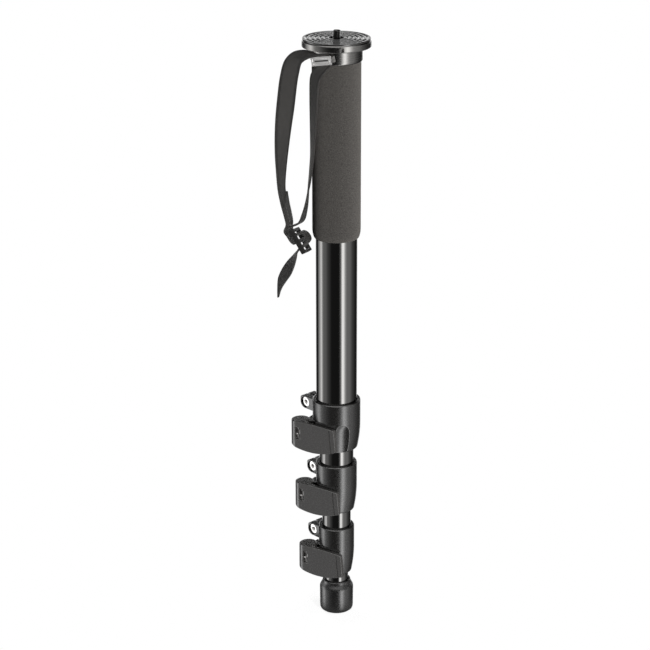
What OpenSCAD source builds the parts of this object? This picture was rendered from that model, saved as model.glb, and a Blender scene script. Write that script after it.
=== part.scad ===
// Camera monopod: four telescopic tubes, three cam lever locks, a foam grip, a camera platform and a strap.
// Millimetres, Z up. The foot stands on z = 0 and all the tubes share the Z axis. The sections are closed.

/* [Tubes] */
// Outside diameter of the top tube
tube_1_d = 34.8; // [33.6:0.2:36.4]
// Wall thickness of every tube
tube_wall = 1.3; // [1.1:0.1:1.5]
// Radial space between the top tube's bore and the second tube
guide_gap_2 = 1.5; // [1.2:0.1:1.8]
// Radial space between the second tube's bore and the third tube
guide_gap_3 = 0.9; // [0.8:0.1:1.2]
// Radial space between the third tube's bore and the thinnest tube
guide_gap_4 = 0.9; // [0.8:0.1:1.2]
// Height of the guide bush on the upper end of each inner tube
bush_h = 22; // [14:1:30]
// Length of the top tube that shows between its collar and the grip
tube_1_show = 140.6; // [110:0.2:170]
// Length of the second tube that shows when closed
tube_2_show = 13.8; // [9:0.2:20]
// Length of the third tube that shows when closed
tube_3_show = 15.4; // [9:0.2:20]
// Length of the thinnest tube that shows when closed
tube_4_show = 8.2; // [5:0.2:16]

/* [Foot] */
// Height of the rubber foot
foot_h = 28.8; // [26:0.2:34]
// Rubber thickness around the thinnest tube
foot_t = 4.5; // [3.6:0.1:5.5]
// Rubber thickness under the tube plug
foot_floor = 5; // [4:0.5:7]
// Length of the plug inside the thinnest tube
foot_plug_h = 18; // [12:1:30]

/* [Collars] */
// Height of each lock collar
collar_h = 44; // [43:0.5:48]
// Wall of the collar around the tube that it is fixed to
collar_wall = 3; // [2.8:0.1:3.2]
// Height of the upper band that grips the outer tube
band_h = 17; // [16:0.5:17.5]
// Height of the slit between the two bands
slit_h = 1.2; // [0.8:0.1:1.4]
// Width of the upright split between the ears
split_w = 2.4; // [1.6:0.1:3]
// Distance of the split's middle from the middle of the ears, to the nut's side
split_y = 2.7; // [2.5:0.1:2.9]
// How much smaller the collar is at its lower edge than at its upper edge, on the radius
collar_drop = 2.2; // [1.8:0.1:2.4]
// Thickness of the plastic sleeve that grips the sliding tube
sleeve_t = 1.2; // [1:0.1:1.4]
// Thickness across the pair of upper ears
ear_w = 15; // [14:0.5:17]
// End radius of the upper ears
ear_r = 5.5; // [5.3:0.1:6]
// Distance of the clamp screw from the outer tube's wall on the top lock
ear_reach_1 = 13.6; // [9:0.1:15]
// Distance of the clamp screw from the outer tube's wall on the middle lock
ear_reach_2 = 8.6; // [6:0.1:11]
// Distance of the clamp screw from the outer tube's wall on the bottom lock
ear_reach_3 = 9.9; // [6:0.1:11]
// Depth of the finger hollow at the top collar's lower edge
scoop_depth = 1.6; // [0.8:0.1:1.7]

/* [Levers] */
// Distance of the lever pivot from the sliding tube's wall, to the side
pivot_reach = 12.4; // [12:0.1:14]
// Distance of the lever pivot from the sliding tube's wall, to the front
pivot_front = 0.5; // [0.3:0.1:0.9]
// Height of the tension bolt above the collar's lower edge
bolt_rise = 14; // [13:0.5:14.5]
// Length of the lever from its pivot to its tip
lever_l = 39; // [34:0.5:46]
// How much shorter the lever is along its upper edge than along its lower edge
lever_lean = 2.6; // [0:0.1:4]
// Thickness of the lever's arm
lever_t = 4; // [3:0.1:4.2]
// Radius of the lever's cam
cam_r = 7.8; // [7.4:0.1:8]
// Distance of the cam's middle from the pivot
cam_lift = 0.5; // [0.3:0.1:0.7]
// Angle that the lever swings open
lever_swing = 100; // [80:5:110]
// Diameter of the barrel pin that the lever turns on
barrel_d = 8.4; // [8:0.1:8.8]

/* [Screws] */
// Diameter of the clamp screws and the tension bolts
screw_d = 5; // [4:0.1:5]
// Head diameter of the clamp screws
head_d = 8.4; // [7.6:0.1:8.6]
// Head height of the clamp screws
head_h = 4; // [3:0.1:4.4]
// Width across the flats of the nuts
nut_af = 8; // [7.4:0.1:8.4]
// Thickness of the nuts
nut_h = 4; // [3:0.1:4.5]

/* [Grip and head] */
// Length of the foam grip
grip_h = 151.4; // [130:0.2:160]
// Thickness of the foam grip
grip_t = 2.7; // [2.2:0.1:3.2]
// Wall of the neck ring around the top tube
neck_t = 3.8; // [3.4:0.1:4.6]
// Height of the neck ring
neck_h = 11.6; // [11:0.2:14]
// Diameter of the camera platform
plate_d = 56.5; // [52:0.5:64]
// Height of the camera platform
plate_h = 5.7; // [5.4:0.1:7]
// Height of the grip pad on the platform
pad_h = 1.5; // [1.2:0.1:2.5]
// Number of rings on the grip pad
pad_rings = 6; // [4:1:7]
// Height of the camera stud above the pad
stud_h = 6.4; // [5:0.1:7]
// Length of the plug in the top tube
plug_h = 13.6; // [10:0.2:20]
// Diameter of the set screw in the platform's rim
set_d = 3; // [2.4:0.1:3]

/* [Strap] */
// Width of the webbing
strap_w = 15; // [13:0.5:15.5]
// Thickness of the webbing
strap_t = 1.5; // [1.2:0.1:1.6]
// Length of the slider along the strap
slider_l = 22; // [21:0.5:24]
// Thickness of the slider
slider_t = 4.4; // [3.4:0.1:4.6]
// Length of the steel loop on the neck
loop_l = 18.6; // [18.6:0.2:21]
// Height of the steel loop
loop_h = 7.2; // [6.4:0.1:7.6]
// Sheet thickness of the steel loop
loop_t = 1.4; // [1:0.1:1.6]

/* [Hidden] */
$fn = 96;
// Overshoot of cutting tools
over = 1;
// Radial running clearance between sliding or turning pieces
run = 0.05;
// Radial clearance of pieces fixed to each other
seat = 0.02;

tube_r_1 = tube_1_d / 2;
tube_r_2 = tube_r_1 - tube_wall - guide_gap_2;
tube_r_3 = tube_r_2 - tube_wall - guide_gap_3;
tube_r_4 = tube_r_3 - tube_wall - guide_gap_4;
tube_r = [tube_r_1, tube_r_2, tube_r_3, tube_r_4];

// Heights of the collars' lower edges, from the top lock to the bottom lock
lock_z_3 = foot_h + tube_4_show;
lock_z_2 = lock_z_3 + collar_h + tube_3_show;
lock_z_1 = lock_z_2 + collar_h + tube_2_show;
lock_z = [lock_z_1, lock_z_2, lock_z_3];

grip_z = lock_z_1 + collar_h + tube_1_show;
neck_z = grip_z + grip_h;
plate_z = neck_z + neck_h;
pad_z = plate_z + plate_h;
deck_z = pad_z + pad_h;

// Turn of the locks and of the strap loop about the tubes
lock_turn = -30;
loop_turn = -29;

// Collar: shoulder under the fixed tube, lip under the sleeve, roundings
shoulder_h = collar_h - band_h;
lip_h = 2.2;
lip_gap = 0.4;
sleeve_end = 0.1;
collar_round = 2;
collar_top_round = 1;
taper_h = 22;
slit_past = 1;

// Upper ears, turned a little further round the tube than the lever
ear_turn = -15;
ear_drop = 10.4;
ear_rise = collar_h - ear_drop;
ear_reach = [ear_reach_1, ear_reach_2, ear_reach_3];
ear_root_gap = 0.8;
ear_root_h = shoulder_h + ear_root_gap;
ear_corner = 2.5;
head_sink = 1.5;
bore_gap = 0.15;
sink_gap = 0.7;
sink_r = head_d / 2 + sink_gap;
screw_tip = 0.6;

// Lower ears and lever
low_ear_bottom = 5;
low_ear_top = 20.5;
low_ear_end = 4.6;
low_ear_chamfer = 3.5;
low_ear_root = 2;
cam_gap = 0.3;
seat_gap = 0.4;
seat_past = 1.5;
lever_bottom = -1.4;
lever_top = 24.8;
lever_cap = 2;
belly_r = 60;
belly_x = 15;
crown_r = 267;
crown_x = 6;
window_w = 5;
window_h = 11;
window_x = 1.2;
slot_gap = 0.4;
barrel_bottom = 1.5;
barrel_end_gap = 0.3;
bolt_end_gap = 0.1;

// Finger hollow
scoop_r = 16;
scoop_h = 18.5;
scoop_lean = 4.9;
scoop_turn = 45;

// Foot
foot_round = 3;
foot_shoulder_h = 6;
foot_draft = 0.3;
plug_flange_h = 2;
foot_rim = 1.7;
foot_rim_edge = 0.3;

// Grip
grip_round_h = 8.5;
grip_round_w = 2.4;
grip_top_round = 0.8;

// Head. The stud's two threads are the standard 1/4 in and 3/8 in
stud_d = 6.35;
stud_low_d = 9.5;
web_h = 2;
tube_top_gap = 0.2;
neck_hole_gap = 0.5;
plate_edge = 0.6;
tube_1_top = plate_z - web_h - tube_top_gap;
plug_z = tube_1_top - plug_h;
stop_gap = 0.5;
inner_top = plug_z - stop_gap;
stud_flange_r = 5.8;
stud_flange_h = 1.5;
stud_recess_gap = 0.2;
stud_chamfer = 0.6;
stud_bottom_gap = 2;
stud_bottom = plug_z + stud_bottom_gap;
pad_margin = 0.4;
pad_hole_r = stud_flange_r + stud_recess_gap;
ring_depth = 0.7;
pad_base_h = pad_h - ring_depth;
ring_slope = 0.4;
ring_share = 0.62;
set_turn = 9;
set_up = 0.2;
set_rise = (plate_h - stud_flange_h - stud_recess_gap) / 2 + set_up;
set_sink = 0.5;
set_socket = 1;

// Strap loop
loop_tilt = -10;
loop_play = 1.5;
loop_gap = strap_t + loop_play;
loop_foot_w = 1.4;
loop_foot_h = 5;
loop_foot_in = 1.6;
loop_recess = 0.5;
loop_rim = 1.6;
loop_rise = 4.3;

// Slider: bars across the strap and cheeks along it
slider_bar = 2.5;
slider_mid = 3;
slider_cheek = 1.5;
slider_play = 0.5;
slider_w = strap_w + 2 * (slider_play + slider_cheek);
slider_angles = [-18, 55, -30];

black = [0.06, 0.06, 0.065];
dark_grey = [0.24, 0.23, 0.23];
foam_grey = [0.3, 0.29, 0.28];
steel = [0.75, 0.75, 0.76];
white = [0.85, 0.85, 0.83];

// Lock n joins tube n to tube n + 1
function r_up(n) = tube_r[n - 1];
function r_low(n) = tube_r[n];
function bore(n) = tube_r[n - 1] - tube_wall;
function collar_r(n) = r_up(n) + collar_wall;
function screw_x(n) = -(r_up(n) + ear_reach[n - 1]);
function pivot_x(n) = -(r_low(n) + pivot_reach);
function pivot_y(n) = -(r_low(n) + pivot_front);
function seat_y(n) = pivot_y(n) + cam_lift - cam_r + lever_t + seat_gap;
function cam_face_y(n) = pivot_y(n) + cam_r + cam_lift + cam_gap;

// Points of an arc about a centre
function arc(c, rx, ry, a0, a1, steps) =
    [for (k = [0 : steps]) c + [rx * cos(a0 + (a1 - a0) * k / steps), ry * sin(a0 + (a1 - a0) * k / steps)]];

module at_lock(n) {
    translate([0, 0, lock_z[n - 1]])
        rotate([0, 0, lock_turn])
            children();
}

module at_ears(n) {
    at_lock(n)
        rotate([0, 0, ear_turn])
            children();
}

// A cylinder along Y that starts at y0 and ends at y1
module across(r, y0, y1) {
    translate([0, y1, 0])
        rotate([90, 0, 0])
            cylinder(r = r, h = y1 - y0);
}

module tube(n, z0, z1) {
    color(black)
        translate([0, 0, z0])
            difference() {
                cylinder(r = tube_r[n - 1], h = z1 - z0);
                translate([0, 0, -over])
                    cylinder(r = bore(n), h = z1 - z0 + 2 * over);
            }
}

module foot() {
    r = tube_r_4 + foot_t;
    rim = tube_r_4 + foot_rim;
    side = foot_h - foot_shoulder_h;
    profile = concat(
        [[0, 0]],
        arc([r - foot_draft - foot_round, foot_round], foot_round, foot_round, -90, 0, 6),
        [[r, side], [rim, foot_h - foot_rim_edge], [rim - foot_rim_edge, foot_h], [0, foot_h]]
    );
    color(black)
        difference() {
            rotate_extrude()
                polygon(profile);
            translate([0, 0, foot_floor])
                cylinder(r = tube_r_4 + seat, h = foot_h);
        }
}

module foot_plug() {
    color(dark_grey)
        translate([0, 0, foot_floor]) {
            cylinder(r = tube_r_4, h = plug_flange_h);
            cylinder(r = bore(4) - seat, h = plug_flange_h + foot_plug_h);
        }
}

module tube_4() {
    tube(4, foot_floor + plug_flange_h, inner_top);
}

module tube_3() {
    tube(3, lock_z_3 + shoulder_h, inner_top);
}

module tube_2() {
    tube(2, lock_z_2 + shoulder_h, inner_top);
}

module tube_1() {
    tube(1, lock_z_1 + shoulder_h, tube_1_top);
}

// Bush on tube n, which slides in tube n - 1
module guide_bush(n) {
    color(white)
        translate([0, 0, inner_top - bush_h])
            difference() {
                cylinder(r = bore(n - 1) - run, h = bush_h);
                translate([0, 0, -over])
                    cylinder(r = tube_r[n - 1] + seat, h = bush_h + 2 * over);
            }
}

// Outside of a collar: a straight upper part, then a gentle taper and a round lower edge
module collar_shell(n) {
    r = collar_r(n);
    taper_r = (taper_h * taper_h + collar_drop * collar_drop) / (2 * collar_drop);
    taper_z = collar_round + taper_h;
    taper_end = asin(taper_h / taper_r);
    low = [r - collar_drop - collar_round, collar_round];
    high = [r - collar_top_round, collar_h - collar_top_round];
    profile = concat(
        [[0, 0]],
        arc(low, collar_round, collar_round, -90, -10, 5),
        arc([r - taper_r, taper_z], taper_r, taper_r, -taper_end, 0, 8),
        arc(high, collar_top_round, collar_top_round, 0, 90, 4),
        [[0, collar_h]]
    );
    rotate_extrude()
        polygon(profile);
}

// Pair of ears that the clamp screw draws together
module upper_ears(n) {
    x = screw_x(n);
    end = x - ear_r;
    top = ear_rise + ear_r;
    side = [
        [end, ear_rise], [end, top - ear_corner], [end + ear_corner, top],
        [-r_up(n), top], [-r_up(n), ear_root_h], [x, ear_rise - ear_r]
    ];
    translate([x, 0, ear_rise])
        across(ear_r, -ear_w / 2, ear_w / 2);
    translate([end + ear_corner, 0, top - ear_corner])
        across(ear_corner, -ear_w / 2, ear_w / 2);
    rotate([90, 0, 0])
        linear_extrude(ear_w, center = true)
            polygon(side);
}

// Pair of ears that the lever's cam draws together
module lower_ears(n) {
    x0 = pivot_x(n) - low_ear_end;
    x1 = low_ear_root - r_low(n);
    c = low_ear_chamfer;
    side = [
        [x0, low_ear_bottom + c], [x0 + c, low_ear_bottom], [x1, low_ear_bottom],
        [x1, low_ear_top], [x0 + c, low_ear_top], [x0, low_ear_top - c]
    ];
    translate([0, ear_w / 2, 0])
        rotate([90, 0, 0])
            linear_extrude(ear_w / 2 - cam_face_y(n))
                polygon(side);
}

// Leaning round-nosed tool that leaves an arched hollow at the lower edge
module finger_scoop(n) {
    r = collar_r(n) - collar_drop;
    rotate([0, 0, scoop_turn])
        translate([0, -(r - scoop_depth + scoop_r), 0])
            rotate([scoop_lean, 0, 0]) {
                translate([0, 0, -scoop_h])
                    cylinder(r = scoop_r, h = 2 * scoop_h);
                translate([0, 0, scoop_h])
                    sphere(r = scoop_r);
            }
}

module lock_collar(n) {
    color(black)
        at_lock(n)
            difference() {
                union() {
                    collar_shell(n);
                    rotate([0, 0, ear_turn])
                        upper_ears(n);
                    lower_ears(n);
                }
                // Lip, sleeve pocket and tube seat
                translate([0, 0, -over])
                    cylinder(r = r_low(n) + lip_gap, h = collar_h);
                translate([0, 0, lip_h])
                    cylinder(r = r_low(n) + sleeve_t + seat, h = collar_h);
                translate([0, 0, shoulder_h])
                    cylinder(r = r_up(n) + seat, h = collar_h);
                // Upright split of each band and the slit between them
                translate([-3 * collar_r(n), split_y - split_w / 2, -over])
                    cube([3 * collar_r(n), split_w, shoulder_h - slit_h / 2 + over]);
                rotate([0, 0, ear_turn])
                    translate([-3 * collar_r(n), -split_w / 2, shoulder_h - slit_h / 2])
                        cube([3 * collar_r(n), split_w, collar_h]);
                translate([-3 * collar_r(n), -3 * collar_r(n), shoulder_h - slit_h])
                    cube([3 * collar_r(n) + slit_past, 6 * collar_r(n), slit_h]);
                // Flat seat for the lever's arm
                translate([pivot_x(n), seat_y(n) - collar_r(n), -over])
                    cube([lever_l + seat_past, collar_r(n), shoulder_h - slit_h / 2 + over]);
                // Clamp screw and tension bolt holes
                rotate([0, 0, ear_turn])
                    translate([screw_x(n), 0, ear_rise]) {
                        across(screw_d / 2 + bore_gap, -ear_w, ear_w);
                        across(sink_r, -ear_w, -ear_w / 2 + head_sink + head_h);
                    }
                translate([pivot_x(n), 0, bolt_rise])
                    across(screw_d / 2 + bore_gap, -2 * ear_w, 2 * ear_w);
                if (n == 1)
                    finger_scoop(n);
            }
}

module lock_sleeve(n) {
    h = shoulder_h - lip_h - 2 * sleeve_end;
    color(white)
        at_lock(n)
            translate([0, 0, lip_h + sleeve_end])
                difference() {
                    cylinder(r = r_low(n) + sleeve_t, h = h);
                    translate([0, 0, -over])
                        cylinder(r = r_low(n) + run, h = h + 2 * over);
                    translate([-2 * r_up(n), split_y - split_w / 2, -over])
                        cube([2 * r_up(n), split_w, h + 2 * over]);
                }
}

module hex_nut(y0) {
    translate([0, y0 + nut_h, 0])
        rotate([90, 30, 0])
            difference() {
                cylinder(d = nut_af / cos(30), h = nut_h, $fn = 6);
                translate([0, 0, -over])
                    cylinder(r = screw_d / 2 + seat, h = nut_h + 2 * over);
            }
}

module clamp_screw(n) {
    head_y = -ear_w / 2 + head_sink;
    color(steel)
        at_ears(n)
            translate([screw_x(n), 0, ear_rise])
                difference() {
                    union() {
                        across(head_d / 2, head_y, head_y + head_h);
                        across(screw_d / 2, head_y, ear_w / 2 + nut_h + screw_tip);
                    }
                    translate([0, head_y + head_h / 2, 0])
                        rotate([90, 0, 0])
                            cylinder(d = head_d / 2, h = head_h, $fn = 6);
                }
}

module clamp_nut(n) {
    color(steel)
        at_ears(n)
            translate([screw_x(n), 0, ear_rise])
                hex_nut(ear_w / 2);
}

module barrel_pin(n) {
    color(steel)
        at_lock(n)
            translate([pivot_x(n), pivot_y(n), barrel_bottom])
                difference() {
                    cylinder(d = barrel_d, h = lever_top - lever_cap - barrel_end_gap - barrel_bottom);
                    translate([0, 0, bolt_rise - barrel_bottom])
                        across(screw_d / 2 + seat, -barrel_d, barrel_d);
                }
}

// The bolt's front end stays inside the round of the barrel pin
module tension_bolt(n) {
    front = sqrt(pow(barrel_d / 2, 2) - pow(screw_d / 2, 2)) - bolt_end_gap;
    color(steel)
        at_lock(n)
            translate([pivot_x(n), 0, bolt_rise])
                across(screw_d / 2, pivot_y(n) - front, ear_w / 2 + nut_h + screw_tip);
}

module tension_nut(n) {
    color(steel)
        at_lock(n)
            translate([pivot_x(n), 0, bolt_rise])
                hex_nut(ear_w / 2);
}

// Eccentric cam, arm and their side outline, about the lever's own pivot
module lever_blank() {
    height = lever_top - lever_bottom;
    past = over * lever_lean / height;
    outline = [
        [0, -over], [lever_l + past, -over],
        [lever_l - lever_lean - past, height + over], [0, height + over]
    ];
    intersection() {
        translate([0, cam_lift, lever_bottom]) {
            translate([0, 0, -over])
                cylinder(r = cam_r, h = height + 2 * over);
            translate([0, lever_t - cam_r, 0])
                rotate([90, 0, 0])
                    linear_extrude(lever_t)
                        polygon(outline);
        }
        translate([belly_x, 2 * cam_r, lever_bottom + belly_r])
            rotate([90, 0, 0])
                cylinder(r = belly_r, h = 4 * cam_r, $fn = 180);
        translate([crown_x, 2 * cam_r, lever_top - crown_r])
            rotate([90, 0, 0])
                cylinder(r = crown_r, h = 4 * cam_r, $fn = 180);
    }
}

module lock_lever(n) {
    slot_w = screw_d + 2 * slot_gap;
    far = 2 * cam_r;
    ahead = [-sin(lever_swing), cos(lever_swing)];
    beside = [-cos(lever_swing), -sin(lever_swing)] * slot_w / 2;
    sweep = [[slot_w / 2, 0], [slot_w / 2, far], [-far, far], far * ahead + beside, beside];
    color(dark_grey)
        at_lock(n)
            translate([pivot_x(n), pivot_y(n), 0])
                difference() {
                    lever_blank();
                    translate([0, 0, lever_bottom - over])
                        cylinder(r = barrel_d / 2 + run, h = lever_top - lever_cap - lever_bottom + over);
                    // Window in front of the bolt's end
                    translate([window_x - window_w / 2, -2 * cam_r, bolt_rise - window_h / 2])
                        cube([window_w, 2 * cam_r, window_h]);
                    // Slot that lets the lever swing round the bolt
                    translate([0, 0, bolt_rise - slot_w / 2])
                        linear_extrude(slot_w)
                            polygon(sweep);
                }
}

module grip() {
    r = tube_r_1 + grip_t;
    profile = concat(
        [[tube_r_1 + seat, 0]],
        arc([r - grip_round_w, grip_round_h], grip_round_w, grip_round_h, -90, 0, 8),
        arc([r - grip_top_round, grip_h - grip_top_round], grip_top_round, grip_top_round, 0, 90, 4),
        [[tube_r_1 + seat, grip_h]]
    );
    color(foam_grey)
        translate([0, 0, grip_z])
            rotate_extrude()
                polygon(profile);
}

// Frame of the strap loop: x along the bar, -y away from the neck
module at_loop() {
    rotate([0, 0, loop_turn])
        translate([0, -(tube_r_1 + neck_t), neck_z + loop_rise])
            rotate([0, loop_tilt, 0])
                children();
}

// The two feet of the loop, let into the neck by loop_foot_in
module loop_feet(grow) {
    wide = loop_foot_w + 2 * grow;
    long = loop_gap + loop_t / 2 + foot_reach() + grow;
    high = loop_foot_h + 2 * grow;
    for (s = [-1, 1])
        translate([s * (loop_l - loop_foot_w) / 2 - wide / 2, -loop_gap - loop_t / 2, -high / 2])
            cube([wide, long, high]);
}

// Depth of the neck's round side behind the loop's feet, and how far the feet go into it
function foot_reach() =
    tube_r_1 + neck_t - sqrt(pow(tube_r_1 + neck_t, 2) - pow(loop_l / 2, 2)) + loop_foot_in;

module neck() {
    r = tube_r_1 + neck_t;
    color(black)
        difference() {
            translate([0, 0, neck_z])
                cylinder(r = r, h = neck_h);
            translate([0, 0, neck_z - over])
                cylinder(r = tube_r_1 + seat, h = over + neck_h - web_h);
            cylinder(d = stud_low_d + 2 * neck_hole_gap, h = deck_z);
            at_loop()
                loop_feet(seat);
        }
}

module top_plug() {
    color(steel)
        translate([0, 0, plug_z])
            difference() {
                cylinder(r = bore(1) - seat, h = plug_h);
                translate([0, 0, -over])
                    cylinder(d = stud_low_d + 2 * seat, h = plug_h + 2 * over);
            }
}

module top_plate() {
    r = plate_d / 2;
    edge = plate_edge;
    profile = [[0, 0], [r - edge, 0], [r, edge], [r, plate_h - edge], [r - edge, plate_h], [0, plate_h]];
    color(black)
        difference() {
            translate([0, 0, plate_z])
                rotate_extrude()
                    polygon(profile);
            cylinder(d = stud_low_d + 2 * seat, h = deck_z);
            translate([0, 0, pad_z - stud_flange_h - stud_recess_gap])
                cylinder(r = pad_hole_r, h = plate_h);
            rotate([0, 0, set_turn])
                translate([0, 0, plate_z + set_rise])
                    across(set_d / 2 + seat, -plate_d, 0);
        }
}

module plate_pad() {
    r_out = plate_d / 2 - pad_margin;
    pitch = (r_out - pad_hole_r) / (pad_rings - 1 + ring_share);
    flat = pitch * ring_share;
    one_ring = [
        [0, pad_h], [flat, pad_h],
        [flat + ring_slope, pad_base_h], [pitch - ring_slope, pad_base_h]
    ];
    rings = [
        for (k = [0 : pad_rings - 1])
            for (p = one_ring)
                if (k < pad_rings - 1 || p[0] <= flat)
                    [pad_hole_r + k * pitch + p[0], p[1]]
    ];
    profile = concat([[pad_hole_r, 0]], rings, [[r_out, 0]]);
    color(dark_grey)
        translate([0, 0, pad_z])
            rotate_extrude()
                polygon(profile);
}

module camera_screw() {
    flange_z = pad_z - stud_flange_h - stud_recess_gap;
    color(steel) {
        translate([0, 0, stud_bottom])
            cylinder(d = stud_low_d, h = flange_z - stud_bottom);
        translate([0, 0, flange_z])
            cylinder(r = stud_flange_r, h = stud_flange_h);
        translate([0, 0, flange_z])
            cylinder(d = stud_d, h = deck_z + stud_h - stud_chamfer - flange_z);
        translate([0, 0, deck_z + stud_h - stud_chamfer])
            cylinder(d1 = stud_d, d2 = stud_d - 2 * stud_chamfer, h = stud_chamfer);
    }
}

module set_screw() {
    color(steel)
        rotate([0, 0, set_turn])
            translate([0, 0, plate_z + set_rise])
                difference() {
                    across(set_d / 2, -plate_d / 2 + set_sink, -stud_low_d / 2 - seat);
                    translate([0, -plate_d / 2 + set_sink + set_socket, 0])
                        rotate([90, 0, 0])
                            cylinder(d = set_d / 2, h = set_socket + over, $fn = 6);
                }
}

module strap_loop() {
    color(steel)
        at_loop()
            difference() {
                union() {
                    translate([-loop_l / 2, -loop_gap - loop_t, -loop_h / 2])
                        cube([loop_l, loop_t, loop_h]);
                    loop_feet(0);
                }
                translate([-loop_l / 2 + loop_rim, -loop_gap - loop_t - over, -loop_h / 2 + loop_rim])
                    cube([loop_l - 2 * loop_rim, over + loop_recess, loop_h - 2 * loop_rim]);
            }
}

// Strap. Each row of a route holds the middle of the webbing as an offset from its place in the loop, the
// heading and the slope of the line across the webbing in degrees, and the share of its near half that stays.
strap_off = 0.3;
strap_reach = tube_r_1 + neck_t + loop_gap / 2 + strap_off;
strap_home = [strap_reach * sin(loop_turn), -strap_reach * cos(loop_turn), neck_z + loop_rise];
slider_home = [-18.6, 7.5, -152.3];
slider_heading = atan2(-slider_across()[1], -slider_across()[0]);
slider_slope = asin(-slider_across()[2]);

// The slider's own directions: along the strap, across it and out of its face
function turned(v) =
    let (
        a = slider_angles,
        x = [v[0], v[1] * cos(a[0]) - v[2] * sin(a[0]), v[1] * sin(a[0]) + v[2] * cos(a[0])],
        y = [x[0] * cos(a[1]) + x[2] * sin(a[1]), x[1], x[2] * cos(a[1]) - x[0] * sin(a[1])]
    )
    [y[0] * cos(a[2]) - y[1] * sin(a[2]), y[0] * sin(a[2]) + y[1] * cos(a[2]), y[2]];
function slider_along() = turned([1, 0, 0]);
function slider_across() = turned([0, 1, 0]);
function slider_out() = turned([0, 0, 1]);

// Row on the slider: distance along it and out of its face
function on_slider(along, out, lap) =
    concat(
        slider_home + along * slider_along() + out * slider_out(),
        [slider_heading + lap, slider_slope, 1]
    );

front_route = [
    [0, 0, 0, 151, -10, 1],
    [-0.8, 0.3, 3.7, 150, -12, 1],
    [-3.3, 0.4, 4.7, 127, -4, 1],
    [-6.4, 1.8, 5, 110, 2, 1],
    [-10.7, 4.6, 4.3, 99, 9, 1],
    [-15.5, 8, 2.7, 101, 20, 1],
    [-19.7, 10, 0.7, 122, 24, 1],
    [-22.7, 11.2, -2, 148, 10, 1],
    [-24.7, 11.8, -6, 164, 2, 1],
    [-26.3, 12, -12.5, 174, 0, 1],
    [-27.9, 12, -21.5, 182, 0, 1],
    [-29.9, 11.8, -38.5, 188, 0, 1],
    [-31.9, 11.6, -56.5, 206, 0, 1],
    [-33.3, 11.4, -74.5, 222, 0, 1],
    [-33.9, 11.2, -91.5, 238, 0, 1],
    [-33.8, 11.2, -108.5, 250, 0, 1],
    [-31.8, 11.1, -121.2, 254, 0, 1],
    [-29.7, 10.6, -130.4, 256, 2, 1],
    [-28.3, 10, -138.2, 257, 5, 1],
    on_slider(-12.6, -5.8, 358),
    on_slider(-8, -5.8, 360),
    on_slider(-3.5, -5.6, 360),
    on_slider(-0.4, -4.6, 360),
    on_slider(0, -3.3, 360)
];

back_route = [
    [0, 0, 0, -29, 10, 1],
    [0.6, -0.3, -4.4, -29, 10, 1],
    [-2.6, 1.9, -8.8, -46, 5, 1],
    [-6.2, 5.6, -17, -60, 1, 1],
    [-7.1, 7.1, -32.5, -65, 0, 1],
    [-7.7, 7.8, -54.5, -72, 0, 1],
    [-8.6, 8.4, -79.5, -81, 0, 1],
    [-10.4, 8.9, -98.5, -86, 0, 1],
    [-11.7, 9.1, -107.9, -90, 0, 1],
    [-13, 9.1, -118.1, -96, 0, 1],
    [-15, 9.1, -128.3, -103, 2, 1],
    [-18.2, 9.4, -137, -107, 6, 1],
    on_slider(-13.8, -1.2, 0),
    on_slider(-11.2, -3.2, 0),
    on_slider(-7.6, -3.2, 0),
    on_slider(-5.2, 0.6, 0),
    on_slider(-5.8, 4.6, 0),
    on_slider(-2, 7, 0),
    on_slider(2.8, 6.4, 0),
    on_slider(5, 0.8, 0),
    on_slider(5.8, -3.4, 2),
    on_slider(6.6, -6.8, 12),
    [-23.4, 4.6, -165.6, -80, 8, 1],
    [-26.6, 3.3, -171, -66, 4, 1],
    [-30, 2.7, -178, -57, 0, 0.9],
    [-32.4, 3, -185.5, -52, -2, 0.4],
    [-32.8, 3.5, -194, -50, -2, -0.4],
    [-32.6, 4, -202.5, -48, -2, -0.9]
];

// Smooth curve through the rows, with three steps to each span
span_steps = 3;
function row_at(rows, k) = rows[max(0, min(len(rows) - 1, k))];
function blend(p, u) =
    0.5 * (2 * p[1] + (p[2] - p[0]) * u + (2 * p[0] - 5 * p[1] + 4 * p[2] - p[3]) * u * u
        + (3 * p[1] - p[0] - 3 * p[2] + p[3]) * u * u * u);
function smooth(rows) =
    concat(
        [
            for (k = [0 : len(rows) - 2])
                for (s = [0 : span_steps - 1])
                    blend([for (j = [-1 : 2]) row_at(rows, k + j)], s / span_steps)
        ],
        [rows[len(rows) - 1]]
    );
function middle(row) = strap_home + [row[0], row[1], row[2]];
function sideways(row) = [cos(row[3]) * cos(row[4]), sin(row[3]) * cos(row[4]), sin(row[4])];
function unit(v) = v / norm(v);

// The four corners of the webbing at row k of a smoothed route
function ring(rows, k) =
    let (
        side = sideways(rows[k]) * strap_w / 2,
        ahead = middle(row_at(rows, k + 1)) - middle(row_at(rows, k - 1)),
        up = unit(cross(ahead, side)) * strap_t / 2,
        near = middle(rows[k]) + side * rows[k][5],
        far = middle(rows[k]) - side
    )
    [far + up, near + up, near - up, far - up];

module webbing(route) {
    rows = smooth(route);
    last = len(rows) - 1;
    points = [for (k = [0 : last]) for (p = ring(rows, k)) p];
    sides = [
        for (k = [0 : last - 1])
            for (j = [0 : 3])
                for (t = [[0, 1, 5], [0, 5, 4]])
                    [for (q = t) 4 * k + (q >= 4 ? 4 : 0) + (j + q % 4) % 4]
    ];
    first_end = [[0, 2, 1], [0, 3, 2]];
    last_end = [for (t = [[0, 1, 2], [0, 2, 3]]) [for (q = t) 4 * last + q]];
    polyhedron(points, concat(sides, first_end, last_end), convexity = 10);
}

module strap_front() {
    color(black)
        webbing(front_route);
}

module strap_back() {
    color(black)
        webbing(back_route);
}

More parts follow.
